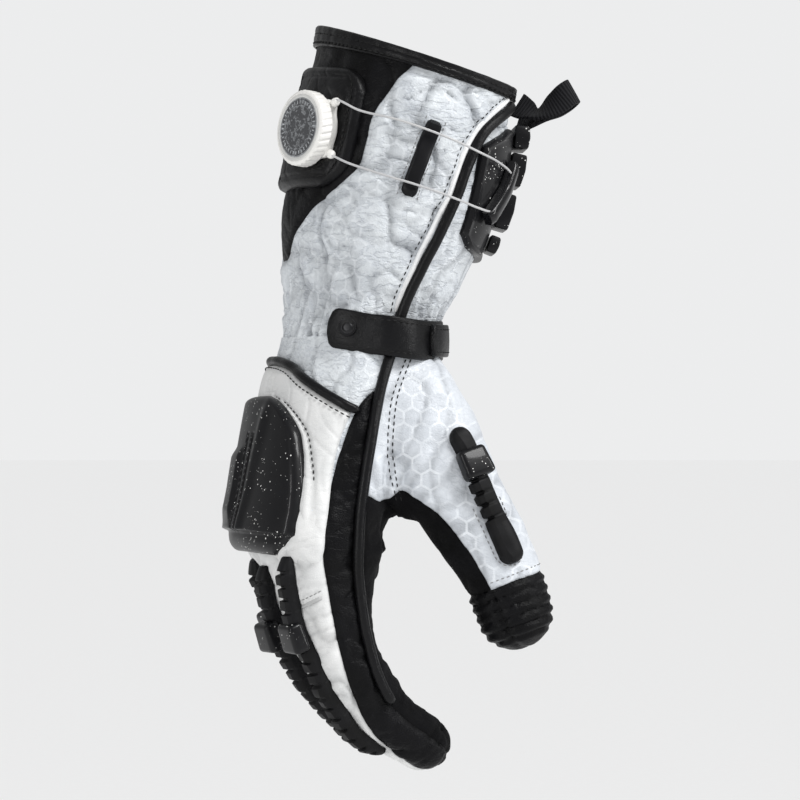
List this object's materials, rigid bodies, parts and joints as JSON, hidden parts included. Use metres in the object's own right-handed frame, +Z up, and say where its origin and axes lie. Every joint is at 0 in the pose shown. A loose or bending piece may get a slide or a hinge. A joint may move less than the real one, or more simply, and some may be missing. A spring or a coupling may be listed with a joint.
{
  "type": "leather motorcycle glove with a long cuff and a lace dial",
  "caption": "Right-hand leather riding glove, worn pose: long cuff with lace dial and wrist strap, knuckle guard, ribbed finger spines, spread thumb.",
  "frame": {"origin": "middle of the wrist, inside the strap", "axes": "+Z up the forearm, -X the back of the hand, +X the palm, -Y the thumb side, +Y the little-finger side"},
  "size_m": [0.1468, 0.1253, 0.3132],
  "materials": {
    "white_leather": "grained, hexagon pattern",
    "smooth_leather": "smooth, padded",
    "black_leather": "grained",
    "black_suede": "napped",
    "white_plastic": "satin",
    "black_plastic": "satin",
    "grey_plastic": "printed with swirls",
    "coated_lace": "coated braid",
    "speckled_rubber": "gloss, white speckles",
    "black_rubber": "matte",
    "black_webbing": "ribbed",
    "black_metal": "gloss"
  },
  "bodies": {
    "glove": {"cuff_shell": "white_leather", "cuff_back_panel": "black_leather", "cuff_binding": "black_leather", "dial_pad": "black_leather", "dial_base": "white_plastic", "lace": "coated_lace", "lace_bar": "black_plastic", "lace_hook": "black_plastic", "cuff_armour_base": "black_plastic", "cuff_armour_block_1": "speckled_rubber", "cuff_armour_block_2": "speckled_rubber", "cuff_armour_block_3": "speckled_rubber", "cuff_armour_block_4": "speckled_rubber", "side_piping": "black_leather", "wrist_strap": "black_leather", "strap_tab": "black_leather", "strap_snap": "black_metal", "pull_loop": "black_webbing", "hand_back_shell": "white_leather", "thumb_side_panel": "black_leather", "palm_shell": "black_suede", "thumb_back_shell": "white_leather", "thumb_palm_shell": "black_suede", "thumb_tip_cap": "black_leather", "knuckle_panel": "smooth_leather", "knuckle_panel_piping": "black_leather", "knuckle_guard": "speckled_rubber", "finger_spine_index": "black_rubber", "finger_spine_middle": "black_rubber", "finger_spine_ring": "black_rubber", "finger_spine_little": "black_rubber", "thumb_spine": "black_rubber", "finger_spine_clip_index": "speckled_rubber", "finger_spine_clip_middle": "speckled_rubber", "finger_spine_clip_ring": "speckled_rubber", "finger_spine_clip_little": "speckled_rubber", "thumb_spine_clip": "speckled_rubber"},
    "dial_spindle": {"dial_spindle": "black_plastic"},
    "dial_knob": {"dial_knob": "white_plastic", "dial_face": "grey_plastic"}
  },
  "joints": [
    {"name": "dial_turn", "type": "hinge", "parent": "glove", "child": "dial_spindle", "pos_m": [-0.03791, -0.01085, 0.0873], "axis": [-0.9794, -0.1727, 0.1045], "continuous": true},
    {"name": "dial_pull", "type": "slide", "parent": "dial_spindle", "child": "dial_knob", "axis": [-0.9794, -0.1727, 0.1045], "range_m": [0, 0.0025]}
  ]
}
